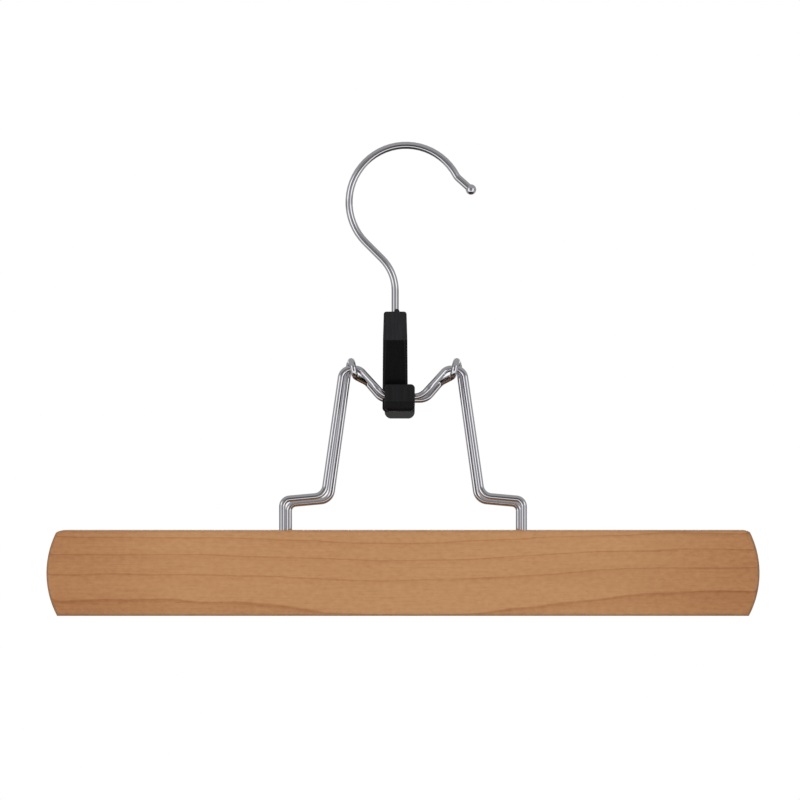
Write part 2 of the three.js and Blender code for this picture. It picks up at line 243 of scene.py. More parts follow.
def bar_shape(front_face, inner_face, foot_half_span):
    """A finished bar: the blank with its rebate milled and its two foot holes drilled and countersunk.

    The blank is scored beside each hole first, to keep the thin faces round the hole short.
    """
    shape = bar_blank()
    bmesh.ops.translate(shape, vec=(0, front_face, 0), verts=shape.verts)
    for side in (-1, 1):
        for edge in (-FOOT_PATCH, FOOT_PATCH):
            score(shape, side * foot_half_span + edge)
    reach = bar_length / 2 - FELT_END_MARGIN
    rebate = block(
        (-reach, inner_face - REBATE_DEPTH, FELT_EDGE_MARGIN),
        (reach, inner_face + REBATE_DEPTH, bar_height - FELT_EDGE_MARGIN),
    )
    depth = front_face + bar_thickness / 2
    mouth = FOOT_HOLE + FOOT_SINK
    drill = [
        (0, -FOOT_DEPTH), (FOOT_HOLE, -FOOT_DEPTH), (FOOT_HOLE, -FOOT_SINK),
        (mouth, 0), (mouth, OVERSHOOT), (0, OVERSHOOT),
    ]
    holes = [lathe(drill, (side * foot_half_span, depth, bar_height)) for side in (-1, 1)]
    return carve(shape, "DIFFERENCE", rebate, *holes)


class Shade:
    """One value in a finish. Arithmetic on shades adds Math nodes, and node() adds any other node."""

    def __init__(self, tree, socket=None):
        self.tree = tree
        self.socket = socket

    def node(self, kind, settings=None, sockets=None, output=0):
        """Adds a node, with its settings first and then the values or links of its sockets."""
        made = self.tree.nodes.new("ShaderNode" + kind)
        for name, value in (settings or {}).items():
            setattr(made, name, value)
        for name, value in (sockets or {}).items():
            if isinstance(value, Shade):
                self.tree.links.new(value.socket, made.inputs[name])
            else:
                made.inputs[name].default_value = value
        return Shade(self.tree, made.outputs[output] if made.outputs else None)

    def math(self, operation, *values):
        """Adds a Math node of some kind."""
        return self.node("Math", {"operation": operation}, dict(enumerate(values)))

    def __add__(self, other):
        return self.math("ADD", self, other)

    def __sub__(self, other):
        return self.math("SUBTRACT", self, other)

    def __mul__(self, other):
        return self.math("MULTIPLY", self, other)

    def __truediv__(self, other):
        return self.math("DIVIDE", self, other)

    def __rsub__(self, other):
        return self.math("SUBTRACT", other, self)

    def __rtruediv__(self, other):
        return self.math("DIVIDE", other, self)

    __radd__ = __add__
    __rmul__ = __mul__


def colour(red, green, blue):
    """A colour as it should look on screen, each part from 0 to 255, as the renderer wants it."""
    return [(part / 255) ** SCREEN_GAMMA for part in (red, green, blue)] + [1]


def new_finish(name):
    """A new material, and a shade to grow its nodes from."""
    material = bpy.data.materials.new(name)
    material.use_nodes = True
    material.node_tree.nodes.clear()
    return material, Shade(material.node_tree)


def grow(shade, low, high):
    """Goes smoothly from 0 to 1 while a shade goes from low to high."""
    return shade.node(
        "MapRange",
        {"interpolation_type": "SMOOTHSTEP"},
        {"Value": shade, "From Min": low, "From Max": high},
    )


def blend(share, first, second):
    """Mixes two colours, all of the first at share 0 and all of the second at share 1."""
    return share.node(
        "Mix", {"data_type": "RGBA"}, {"Factor": share, 6: first, 7: second}, output=2
    )


def split(vector):
    """The three parts of a vector."""
    parts = vector.node("SeparateXYZ", sockets={0: vector}).socket.node.outputs
    return [Shade(vector.tree, part) for part in parts]


def stretch(place, scale, shift=(0, 0, 0)):
    """Scales a place along each axis and then moves it."""
    return place.node("Mapping", sockets={"Vector": place, "Scale": scale, "Location": shift})


def place_in_mm(start, shift):
    """The place of each point of a piece in millimetres, moved by a shift."""
    return stretch(start.node("TexCoord", output="Object"), [1 / MM] * 3, shift)


def speckle(place, scale, detail):
    """Soft noise about 0, mostly within a half."""
    made = place.node("TexNoise", sockets={"Vector": place, "Scale": scale, "Detail": detail})
    return made - 0.5


def growth_rings(place):
    """Counts growth rings outwards from the pith. They wander, sweep along the bar and taper with the log."""
    along, deep, up = split(place)
    wander = speckle(stretch(place, (0.012, 0.05, 0.05)), 1, 2)
    ripple = speckle(stretch(place, (0.05, 0.3, 0.3)), 1, 2)
    sweep = place.math("COSINE", along * (2 * pi / SWEEP_LENGTH))
    radius = place.math("SQRT", deep * deep + up * up) + sweep * SWEEP_DEPTH - along * LOG_TAPER
    return (radius + wander * RING_WANDER + ripple * RING_RIPPLE) / RING_WIDTH


def lacquered_wood(name, low, high, pith_depth, pith_height, shift, heart_ring):
    """Flat-sawn hardwood under satin lacquer, with its pith outside the bar, a darker heart, and painted
    shade with darker end grain towards each end.
    """
    material, start = new_finish(name)
    middle = (low + high) / 2 / MM
    from_pith = (shift - middle.x, -middle.y - pith_depth, -low.z / MM - pith_height)
    place = place_in_mm(start, from_pith)
    along = split(place)[0]
    ring = growth_rings(place)
    phase = start.math("FRACT", ring)
    tone = start.node("TexWhiteNoise", {"noise_dimensions": "1D"}, {"W": start.math("FLOOR", ring)})
    heart = 1 - grow(ring, heart_ring - 0.05, heart_ring)
    late = grow(phase, 0.55, 0.95) * (1 - grow(phase, 0.95, 1))
    line = grow(phase, 0.88, 0.95) * (1 - grow(phase, 0.95, 1))
    fibre = speckle(stretch(place, (0.05, 1.6, 1.6)), 1, 3)
    fleck = grow(speckle(stretch(place, (0.3, 2.2, 2.2)), 1, 2), 0.08, 0.24)
    mottle = speckle(stretch(place, (0.35, 0.6, 0.6)), 1, 3)
    cloud = speckle(stretch(place, (0.012, 0.06, 0.06)), 1, 2)
    # Darker towards each end of the bar: painted shade where the light falls off along the bar, and the
    # darker end grain at the bowed ends.
    ends = grow(start.math("ABSOLUTE", along - shift), bar_length / 2 - END_SHADE_REACH, bar_length / 2)
    rings = late * 0.09 + line * 0.24 + tone * 0.08 + heart * 0.11
    fine = fleck * 0.2 - fibre * 0.42 - cloud * 0.3 + mottle * 0.6
    base = blend(rings + ends * 0.28 + fine + 0.1, colour(*PALE_WOOD), colour(*DARK_WOOD))
    polish = 0.42 + fibre * 0.12 + fleck * 0.05
    grain = start.node(
        "Bump", sockets={"Strength": 0.12, "Distance": 0.00004, "Height": fibre - line * 0.4}
    )
    surface = start.node("BsdfPrincipled", sockets={
        "Base Color": base, "Roughness": polish, "Normal": grain, "IOR": 1.45, "Specular IOR Level": 0.35,
        "Coat Weight": 0.12, "Coat Roughness": 0.3,
    })
    start.node("OutputMaterial", sockets={"Surface": surface})
    return material


def soften(piece):
    """Evens the shading of flat faces beside rounded edges."""
    step = piece.modifiers.new("even_shading", "WEIGHTED_NORMAL")
    step.keep_sharp = True


front_wood = lacquered_wood(
    "front_wood", front_low, front_high, pith_depth=34, pith_height=-5, shift=0, heart_ring=9
)
rear_wood = lacquered_wood(
    "rear_wood", rear_low, rear_high, pith_depth=-31, pith_height=6, shift=47, heart_ring=8
)
front_shape = bar_shape(front_low.y / MM, front_high.y / MM, FRONT_FOOT_HALF_SPAN)
rear_shape = bar_shape(rear_low.y / MM, rear_low.y / MM, REAR_FOOT_HALF_SPAN)
front_place = in_place(front_low, front_high)
rear_place = in_place(rear_low, rear_high)
front_piece = finish_piece(
    "front_clamp_bar", front_shape, front_place, front_wood, "front_half", "front_bar"
)
rear_piece = finish_piece(
    "rear_clamp_bar", rear_shape, rear_place, rear_wood, "rear_half", "rear_bar"
)
soften(front_piece)
soften(rear_piece)


# Felt linings
# A strip of dark pressed felt glued into each bar's rebate. It stands proud of the wood and grips the cloth.
# Its edges are die cut and slightly rounded by pressing.
FELT_EDGE_ROUND = 0.45
FELT_EDGE_STEPS = 3
FELT_LENGTH_CUTS = 160
FELT_HEIGHT_CUTS = 14
FELT_WAVE = 0.12
FELT_WAVE_SCALE = 0.16
FELT_DARK = (27, 26, 25)
FELT_PALE = (78, 74, 70)
LONG_SHARE = 0.9

felt_length = bar_length - 2 * FELT_END_MARGIN
felt_height = bar_height - 2 * FELT_EDGE_MARGIN


def felt_strip(low, high, glue_side):
    """A strip of felt whose free face rises and falls a little, as pressed wool does."""
    middle = (low.y + high.y) / 2 / MM
    shape = block(
        (-felt_length / 2, low.y / MM, FELT_EDGE_MARGIN),
        (felt_length / 2, high.y / MM, FELT_EDGE_MARGIN + felt_height),
    )
    round_off(shape, shape.edges[:], FELT_EDGE_ROUND, FELT_EDGE_STEPS)
    long_edges = [edge for edge in shape.edges if edge.calc_length() > felt_length * LONG_SHARE]
    bmesh.ops.subdivide_edges(shape, edges=long_edges, cuts=FELT_LENGTH_CUTS, use_grid_fill=True)
    tall_edges = [edge for edge in shape.edges if edge.calc_length() > felt_height * LONG_SHARE]
    bmesh.ops.subdivide_edges(shape, edges=tall_edges, cuts=FELT_HEIGHT_CUTS, use_grid_fill=True)
    for vert in shape.verts:
        if (vert.co.y - middle) * glue_side < 0:
            sink = max(0, 0.5 - noise.noise(vert.co * FELT_WAVE_SCALE))
            vert.co.y += glue_side * FELT_WAVE * sink
    return shape


def pressed_felt(name, shift):
    """Dark pressed wool felt, with matted fibres and a soft sheen."""
    material, start = new_finish(name)
    place = place_in_mm(start, (shift, 0, 0))
    mat = speckle(place, 1.1, 5)
    clump = speckle(place, 0.22, 3)
    hair = speckle(stretch(place, (0.9, 0.9, 4.0)), 1, 3)
    base = blend(mat * 1.6 + clump * 1.1 + 0.42, colour(*FELT_DARK), colour(*FELT_PALE))
    nap = start.node("Bump", sockets={"Strength": 0.9, "Distance": 0.0004, "Height": mat + hair * 0.6})
    surface = start.node("BsdfPrincipled", sockets={
        "Base Color": base, "Roughness": 0.9 + mat * 0.1, "Normal": nap, "Specular IOR Level": 0.2,
        "Sheen Weight": 0.25, "Sheen Roughness": 0.6,
    })
    start.node("OutputMaterial", sockets={"Surface": surface})
    return material


for half, place, glue_side, shift in (("front", front_place, -1, 0), ("rear", rear_place, 1, 31)):
    low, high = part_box(half + "_felt")
    shape = felt_strip(low, high, glue_side)
    wool = pressed_felt(half + "_felt_wool", shift)
    strip = finish_piece(
        half + "_lining", shape, place, wool, half + "_half", half + "_felt"
    )


# Front frame wire
# One length of bright plated steel wire, bent cold. Its feet are glued into the front bar, and its two knees
# are the hinge of the hanger. Its dipped middle run passes in front of the lock's web.
WIRE = 1.4
WIRE_SIDES = 36
BEND_STEP = radians(6)
BAR_MIDDLE_DEPTH = 7.6
FOOT_CHAMFER = 0.4
SHOULDER_HEIGHT = 49
SHOULDER_SLOPE = 1.6
FOOT_BEND = 3.2
SHOULDER_BEND = 5
LEG_FOOT_HALF_SPAN = 33.2
LEG_LEAN = 0.6
KNEE_HEIGHT = 104
KNEE_HALF_SPAN = 25.6
KNEE_RUN = 7.3
KNEE_BEND = 4.2
FLANK_HALF = 11.5
FLANK_BEND = 6
FRONT_MIDDLE_HALF = 7.6
FRONT_MIDDLE_HEIGHT = 92.2
FRONT_MIDDLE_DEPTH = 3.6185
MIDDLE_BEND = 7
WEDGE_ANGLE = radians(8.3)
PLATE_PALE = (0.66, 0.65, 0.68, 1)
PLATE_DARK = (0.56, 0.55, 0.585, 1)


class Bender:
    """Draws a round wire ring by ring, the way a bending machine feeds it: straight runs and round bends."""

    def __init__(self, start, heading, radius):
        self.shape = bmesh.new()
        self.at = Vector(start)
        self.heading = Vector(heading).normalized()
        self.radius = radius
        face_on = self.heading.to_track_quat("Z", "Y").to_matrix().to_4x4()
        place = Matrix.Translation(self.at) @ face_on
        made = bmesh.ops.create_circle(
            self.shape, cap_ends=True, segments=WIRE_SIDES, radius=radius, matrix=place
        )
        self.ring = list(dict.fromkeys(edge for vert in made["verts"] for edge in vert.link_edges))

    def ring_verts(self):
        """The corners of the ring that the wire has reached."""
        return list(dict.fromkeys(vert for edge in self.ring for vert in edge.verts))

    def run(self, length):
        """Feeds a straight length."""
        made = bmesh.ops.extrude_edge_only(self.shape, edges=self.ring)["geom"]
        self.ring = [item for item in made if isinstance(item, bmesh.types.BMEdge)]
        step = self.heading * length
        bmesh.ops.translate(self.shape, vec=step, verts=self.ring_verts())
        self.at = self.at + step

    def swell(self, advance, radius):
        """Feeds a short length that ends at another thickness."""
        self.run(advance)
        factor = radius / self.radius
        bmesh.ops.scale(
            self.shape, vec=[factor] * 3, space=Matrix.Translation(-self.at), verts=self.ring_verts()
        )
        self.radius = radius

    def wind(self, centre, axis, turn, climb=0):
        """Winds the wire round an axis, climbing along it."""
        steps = max(2, ceil(turn / BEND_STEP))
        advance = axis * (climb / steps)
        made = bmesh.ops.spin(
            self.shape, geom=self.ring, cent=centre, axis=axis, angle=turn, steps=steps, dvec=advance
        )["geom_last"]
        self.ring = [item for item in made if isinstance(item, bmesh.types.BMEdge)]
        swing = Matrix.Rotation(turn, 3, axis)
        self.at = centre + swing @ (self.at - centre) + axis * climb
        self.heading = swing @ self.heading

    def bend(self, radius, turn, axis):
        """Bends the wire to a radius about an axis square to it."""
        self.wind(self.at + axis.cross(self.heading) * radius, axis, turn)

    def aim(self, target):
        """Turns the ring a little, to face a target."""
        heading = (target - self.at).normalized()
        swing = self.heading.rotation_difference(heading).to_matrix()
        bmesh.ops.rotate(self.shape, cent=self.at, matrix=swing, verts=self.ring_verts())
        self.heading = heading

    def follow(self, corners, end):
        """Feeds the wire by corners, each with the radius of its bend, to an end point."""
        points = [Vector(corner) for corner, _ in corners] + [Vector(end)]
        for number, (_, radius) in enumerate(corners):
            leaving = (points[number + 1] - points[number]).normalized()
            turn = self.heading.angle(leaving)
            self.run((points[number] - self.at).length - radius * tan(turn / 2))
            self.bend(radius, turn, self.heading.cross(leaving).normalized())
        self.run((points[-1] - self.at).length)

    def both_halves(self):
        """Mirrors the half that is drawn, and joins the two in the middle."""
        everything = self.shape.verts[:] + self.shape.edges[:] + self.shape.faces[:]
        bmesh.ops.mirror(self.shape, geom=everything, axis="X", merge_dist=SEAM)
        return self.shape


def planted_foot(half_span, depth):
    """A wire that starts in a bar's hole with a chamfered end, heading up."""
    wire = Bender((half_span, depth, bar_height - FOOT_DEPTH), (0, 0, 1), WIRE - FOOT_CHAMFER)
    wire.swell(FOOT_CHAMFER, WIRE)
    return wire


def bright_chrome(name, shift):
    """Bright nickel and chrome plate on drawn wire, with a faint haze and ripple."""
    material, start = new_finish(name)
    place = place_in_mm(start, (shift, 0, 0))
    haze = speckle(place, 0.11, 3)
    mist = speckle(place, 0.9, 3)
    base = blend(haze * 1.2 + 0.5, PLATE_PALE, PLATE_DARK)
    wave = start.node("Bump", sockets={"Strength": 0.02, "Distance": 0.0002, "Height": mist})
    surface = start.node("BsdfPrincipled", sockets={
        "Base Color": base, "Metallic": 1.0, "Roughness": 0.055 + haze * 0.05 + mist * 0.03, "Normal": wave,
    })
    start.node("OutputMaterial", sockets={"Surface": surface})
    return material


flank_share = (FLANK_HALF - FRONT_MIDDLE_HALF) / (KNEE_HALF_SPAN - KNEE_RUN - FRONT_MIDDLE_HALF)
flank_rise = (KNEE_HEIGHT - FRONT_MIDDLE_HEIGHT) * flank_share
flank_depth = FRONT_MIDDLE_DEPTH + tan(WEDGE_ANGLE) * flank_rise
front_wire = planted_foot(FRONT_FOOT_HALF_SPAN, -BAR_MIDDLE_DEPTH)
front_wire.follow(
    [
        ((FRONT_FOOT_HALF_SPAN, -BAR_MIDDLE_DEPTH, SHOULDER_HEIGHT), FOOT_BEND),
        ((LEG_FOOT_HALF_SPAN, LEG_LEAN - BAR_MIDDLE_DEPTH, SHOULDER_HEIGHT + SHOULDER_SLOPE), SHOULDER_BEND),
        ((KNEE_HALF_SPAN, 0, KNEE_HEIGHT), KNEE_BEND),
        ((KNEE_HALF_SPAN - KNEE_RUN, 0, KNEE_HEIGHT), KNEE_BEND),
        ((FLANK_HALF, -flank_depth, FRONT_MIDDLE_HEIGHT + flank_rise), FLANK_BEND),
        ((FRONT_MIDDLE_HALF, -FRONT_MIDDLE_DEPTH, FRONT_MIDDLE_HEIGHT), MIDDLE_BEND),
    ],
    (0, -FRONT_MIDDLE_DEPTH, FRONT_MIDDLE_HEIGHT),
)
finish_piece(
    "front_frame_wire", front_wire.both_halves(), front_place, bright_chrome("front_chrome", 0),
    "front_half", "front_wire",
)


# Rear frame wire
# The same plated wire. Its feet are glued into the rear bar, and each leg is wound into an eye round a knee
# of the front wire, so that the two halves swing on each other. Its middle run passes behind the lock's web.
REAR_LEG_NEST = 2.2
EYE_RADIUS = 3.2
EYE_TURN = radians(240)
EYE_PITCH = 4
EYE_OUTSET = 2.3
EYE_TAIL = 1.2
EYE_EXIT_BEND = 3
EYE_EXIT_HALF = 15.6
EYE_EXIT_HEIGHT = 98.2
REAR_SHOULDER_HEIGHT = 46.9
REAR_MIDDLE_HALF = 9.4
REAR_MIDDLE_HEIGHT = 91
REAR_MIDDLE_DEPTH = 3.4435

rear_leg_foot = LEG_FOOT_HALF_SPAN - REAR_LEG_NEST
eye_start = Vector((KNEE_HALF_SPAN - EYE_OUTSET, EYE_RADIUS, KNEE_HEIGHT))
eye_climb = -EYE_PITCH * EYE_TURN / (2 * pi)
rear_wire = planted_foot(REAR_FOOT_HALF_SPAN, BAR_MIDDLE_DEPTH)
rear_wire.follow(
    [
        ((REAR_FOOT_HALF_SPAN, BAR_MIDDLE_DEPTH, REAR_SHOULDER_HEIGHT), FOOT_BEND),
        ((rear_leg_foot, BAR_MIDDLE_DEPTH - LEG_LEAN, REAR_SHOULDER_HEIGHT + SHOULDER_SLOPE), SHOULDER_BEND),
    ],
    eye_start,
)
rear_wire.wind(Vector((eye_start.x, 0, KNEE_HEIGHT)), Vector((1, 0, 0)), EYE_TURN, eye_climb)
eye_slope = Vector((-EYE_PITCH / (2 * pi), -EYE_RADIUS * sin(EYE_TURN), EYE_RADIUS * cos(EYE_TURN)))
tail_end = rear_wire.at + eye_slope.normalized() * EYE_TAIL
rear_wire.aim(tail_end)
rear_wire.follow(
    [
        (tail_end, EYE_EXIT_BEND),
        ((EYE_EXIT_HALF, REAR_MIDDLE_DEPTH, EYE_EXIT_HEIGHT), EYE_EXIT_BEND),
        ((REAR_MIDDLE_HALF, REAR_MIDDLE_DEPTH, REAR_MIDDLE_HEIGHT), FLANK_BEND),
    ],
    (0, REAR_MIDDLE_DEPTH, REAR_MIDDLE_HEIGHT),
)
finish_piece(
    "rear_frame_wire", rear_wire.both_halves(), rear_place, bright_chrome("rear_chrome", 57),
    "rear_half", "rear_wire",
)


# Wedge lock
# One moulding in satin black plastic, filled through a gate on its top. Its web widens upwards between the
# two middle runs, and a front and a rear jaw hook round them. Pushing it down spreads the wires apart.
WEB_HALF = 1.85
WEB_FOOT = 85.8
WEB_WIDTH = 10.8
WEB_CHAMFER = 0.4
WEB_FOOT_ROUND = 1.8
STEP_HEIGHT = 116.1
STEP_WIDTH = 10.3
CAP_TOP = 128.1
CAP_WIDTH = 9.6
CAP_THICKNESS = 8.6
CAP_CHAMFER = 1.3
CAP_CORNER = 1.2
CAP_ROUND = 0.55
CAP_ROUND_STEPS = 4
STEM_ROUND = 0.25
STEM_ROUND_STEPS = 2
SLOT_RADIUS = 1.75
SLOT_EASE = 0.05
SLOT_RISE = 9
FRONT_JAW_HALF_WIDTH = 6.4
REAR_JAW_HALF_WIDTH = 6.35
FRONT_JAW_DROP = 6.5
REAR_JAW_DROP = 8.0
JAW_ASIDE = 1.9
JAW_ROOT = 0.3
JAW_RISE = 5.3
JAW_TOP_CORNER = 1.8
JAW_BOTTOM_CORNER = 2.8
JAW_ROUND = 0.9
JAW_ROUND_STEPS = 3
JAW_RIM_ANGLE = radians(45)
CREASE_DROP = 1.8
CREASE_REACH = 2.5
CREASE_ROUND = 0.9
TOE_BACK = 1.3
TOE_ROUND = 2.2
LIP = 1.3
LIP_UNDERCUT = 0.6
LIP_UNDERCUT_RISE = 2.8
LIP_GLOSS_TOP = (86.1, 86.7)
LIP_GLOSS_BACK = (1, 1.4)
BORE = 1.9
POCKET = 3.0
POCKET_LOW = 110.1
POCKET_HIGH = 113.1
NUB = 1.15
NUB_ASIDE = 0.7
NUB_DEPTH = 3.05
NUB_SIDES = 20
NUB_RINGS = 12
PARTING_HALF_WIDTH = 0.22
PARTING_RISE = 0.18
JAW_PARTING_ASIDE = 2.2
MARGIN = 0.02
CUT_DEPTH = 20
GRAIN_DARK = (0.010, 0.010, 0.0108, 1)
GRAIN_PALE = (0.022, 0.022, 0.0238, 1)
# The darkest black: the colour of the smooth web, and of the painted shade on the web and on each jaw.
SHADED_POLISHED_BLACK = (0.003, 0.003, 0.0034, 1)

swivel = next(joint for joint in frame["joints"] if joint["name"] == "hook_swivel")
lock_place = Matrix.Translation((swivel["pos_m"][0], 0, front_low.z)) @ Matrix.Scale(MM, 4)


def web_half(height):
    """Half the web's thickness at a height."""
    return WEB_HALF + tan(WEDGE_ANGLE) * (height - FRONT_MIDDLE_HEIGHT)


def level_with(shape, height):
    """The edges of a shape that lie at a height."""
    return [edge for edge in shape.edges if all(abs(vert.co.z - height) < SEAM for vert in edge.verts)]


def flat_face(corners, rounds):
    """A flat face with a round at each corner that asks for one."""
    shape = bmesh.new()
    verts = [shape.verts.new(corner) for corner in corners]
    bmesh.ops.contextual_create(shape, geom=verts)
    for vert, offset in zip(verts, rounds):
        if offset:
            round_off(shape, [vert], offset, CORNER_STEPS, "VERTICES")
    return shape


def stem_ring(shape, height, width, thickness, chamfer):
    """One level outline of the stem, with chamfered corners."""
    corners = bmesh.ops.create_grid(shape, x_segments=1, y_segments=1, size=0.5)["verts"]
    bmesh.ops.scale(shape, vec=(width, thickness, 1), verts=corners)
    bmesh.ops.translate(shape, vec=(0, 0, height), verts=corners)
    round_off(shape, corners, chamfer, 1, "VERTICES")
    ring = level_with(shape, height)
    bmesh.ops.delete(shape, geom=ring[0].link_faces[:], context="FACES_ONLY")
    return ring


def parting_line(shape, aside, low):
    """Raises the fine line along a moulding's front, above a height, where the halves of its mould met."""
    for offset in (-PARTING_HALF_WIDTH, 0, PARTING_HALF_WIDTH):
        score(shape, aside + offset)
    front = [vert for vert in shape.verts if vert.co.z > low and vert.co.y < -web_half(vert.co.z) / 2]
    ridge = [vert for vert in front if abs(vert.co.x - aside) < SEAM]
    bmesh.ops.translate(shape, vec=(0, -PARTING_RISE, 0), verts=ridge)


def stem_front():
    """The stem's outline from the front, with rounded foot and cap corners, drawn out through its depth."""
    foot = WEB_WIDTH / 2 + MARGIN
    step = STEP_WIDTH / 2 + MARGIN
    cap = CAP_WIDTH / 2 + MARGIN
    low = WEB_FOOT - MARGIN
    high = CAP_TOP + MARGIN
    outline = (
        (-foot, low), (foot, low), (step, STEP_HEIGHT),
        (cap, high), (-cap, high), (-step, STEP_HEIGHT),
    )
    rounds = (WEB_FOOT_ROUND, WEB_FOOT_ROUND, 0, CAP_CORNER, CAP_CORNER, 0)
    shape = flat_face([(across, CUT_DEPTH / 2, up) for across, up in outline], rounds)
    pull(shape, (0, -CUT_DEPTH, 0))
    return shape


def lock_stem():
    """The web and the cap, drawn through three level outlines, with softened edges."""
    shape = bmesh.new()
    rings = [
        stem_ring(shape, WEB_FOOT, WEB_WIDTH, 2 * web_half(WEB_FOOT), WEB_CHAMFER),
        stem_ring(shape, STEP_HEIGHT, STEP_WIDTH, 2 * web_half(STEP_HEIGHT), CAP_CHAMFER),
        stem_ring(shape, CAP_TOP, CAP_WIDTH, CAP_THICKNESS, CAP_CHAMFER),
    ]
    bmesh.ops.contextual_create(shape, geom=rings[0])
    bmesh.ops.contextual_create(shape, geom=rings[-1])
    for below, above in zip(rings, rings[1:]):
        bmesh.ops.bridge_loops(shape, edges=below + above)
    bmesh.ops.recalc_face_normals(shape, faces=shape.faces)
    round_off(shape, level_with(shape, CAP_TOP), CAP_ROUND, CAP_ROUND_STEPS)
    upright = [
        edge for edge in shape.edges
        if abs(edge.verts[0].co.z - edge.verts[1].co.z) > 2 * STEM_ROUND
    ]
    round_off(shape, upright + level_with(shape, STEP_HEIGHT), STEM_ROUND, STEM_ROUND_STEPS)
    parting_line(shape, NUB_ASIDE, STEP_HEIGHT + STEM_ROUND / 2)
    return carve(shape, "INTERSECT", stem_front())


def jaw_side(height, depth, drop, half_width, side):
    """The jaw as it shows from its end, drawn out along the middle run past both ends of the jaw."""
    reach = depth + SLOT_RADIUS + CREASE_REACH
    lip = depth + SLOT_RADIUS / cos(WEDGE_ANGLE) + tan(WEDGE_ANGLE) * JAW_RISE + LIP
    bottom = height - drop
    top = height + JAW_RISE
    outline = (
        (LIP_UNDERCUT, bottom), (reach - TOE_BACK, bottom), (reach, height - CREASE_DROP),
        (lip, top), (-JAW_ROOT, top), (-JAW_ROOT, bottom + LIP_UNDERCUT_RISE),
    )
    rounds = (0, TOE_ROUND, CREASE_ROUND, 0, 0, 0)
    start = JAW_ASIDE - 2 * half_width
    shape = flat_face([(start, side * out, up) for out, up in outline], rounds)
    pull(shape, (4 * half_width, 0, 0))
    return shape


def jaw_front(height, drop, half_width, side):
    """The jaw as it shows from the front, drawn out through its depth."""
    left = JAW_ASIDE - half_width
    right = JAW_ASIDE + half_width
    bottom = height - drop - MARGIN
    top = height + JAW_RISE + MARGIN
    outline = ((left, bottom), (right, bottom), (right, top), (left, top))
    rounds = (JAW_BOTTOM_CORNER, JAW_BOTTOM_CORNER, JAW_TOP_CORNER, JAW_TOP_CORNER)
    shape = flat_face([(across, -side * OVERSHOOT, up) for across, up in outline], rounds)
    pull(shape, (0, side * CUT_DEPTH, 0))
    return shape


def slot(height, depth, half_width, side):
    """The upturned slot that a middle run lies in, leaning with the web."""
    shape = bmesh.new()
    upright = Matrix.Rotation(radians(90), 4, "Y")
    radius = SLOT_RADIUS + SLOT_EASE
    bmesh.ops.create_circle(shape, cap_ends=True, segments=HOLE_STEPS, radius=radius, matrix=upright)
    upper = [vert for vert in shape.verts if vert.co.z > SEAM]
    bmesh.ops.translate(shape, vec=(0, 0, SLOT_RISE), verts=upper)
    pull(shape, (4 * half_width, 0, 0))
    bmesh.ops.translate(shape, vec=(-2 * half_width, 0, 0), verts=shape.verts)
    lean = Matrix.Rotation(-side * WEDGE_ANGLE, 4, "X")
    place = Matrix.Translation((0, side * depth, height)) @ lean
    bmesh.ops.transform(shape, matrix=place, verts=shape.verts)
    return shape


def jaw(height, depth, drop, half_width, side):
    """A jaw that hooks round a middle run, with its rims softened and its slot cut."""
    profile = jaw_side(height, depth, drop, half_width, side)
    shape = carve(profile, "INTERSECT", jaw_front(height, drop, half_width, side))
    tidy(shape)
    rims = [
        edge for edge in shape.edges
        if edge.calc_face_angle(0) > JAW_RIM_ANGLE and all(vert.co.y * side > depth for vert in edge.verts)
    ]
    round_off(shape, rims, JAW_ROUND, JAW_ROUND_STEPS)
    if side < 0:
        parting_line(shape, JAW_PARTING_ASIDE, 0)
    return carve(shape, "DIFFERENCE", slot(height, depth, half_width, side))


def gate_nub():
    """The stub that is left on the cap where the plastic ran into the mould."""
    shape = bmesh.new()
    place = Matrix.Translation((NUB_ASIDE, -NUB_DEPTH, CAP_TOP))
    bmesh.ops.create_uvsphere(shape, u_segments=NUB_SIDES, v_segments=NUB_RINGS, radius=NUB, matrix=place)
    return shape


def hook_bore():
    """The bore that the hook stands in, with the pocket for its head."""
    top = CAP_TOP + OVERSHOOT
    outline = [
        (0, POCKET_LOW), (POCKET, POCKET_LOW), (POCKET, POCKET_HIGH),
        (BORE, POCKET_HIGH), (BORE, top), (0, top),
    ]
    return lathe(outline, (0, 0, 0))


def within(shade, low, high, soft):
    """Is 1 while a shade lies between two values, with soft sides, and 0 elsewhere."""
    return grow(shade, low - soft, low + soft) * (1 - grow(shade, high - soft, high + soft))


